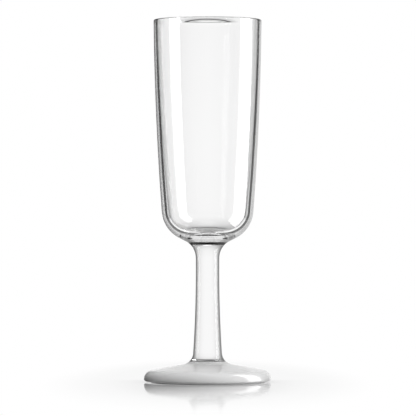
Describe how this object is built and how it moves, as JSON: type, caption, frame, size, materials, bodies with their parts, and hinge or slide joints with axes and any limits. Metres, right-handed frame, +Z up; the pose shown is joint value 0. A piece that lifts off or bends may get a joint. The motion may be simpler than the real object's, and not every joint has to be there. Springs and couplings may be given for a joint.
{
  "type": "champagne flute",
  "caption": "Champagne flute with a thick clear bowl on a flat-bottomed shoulder, a waisted clear stem and a low rounded white foot that stands on a soft ring.",
  "frame": {"origin": "centre of the ring under the foot, on the surface that the flute stands on", "axes": "+Z up along the axis that every piece is turned about; X and Y are equal"},
  "size_m": [0.065, 0.065, 0.185],
  "materials": {
    "clear_plastic": "polished clear, as moulded",
    "white_plastic": "gloss white",
    "base_plastic": "fine satin white",
    "grip_rubber": "soft matte pale grey"
  },
  "bodies": {
    "root": {"bowl": "clear_plastic", "stem": "clear_plastic", "foot_cover": "white_plastic", "foot_base": "base_plastic", "grip_ring": "grip_rubber"}
  },
  "joints": []
}
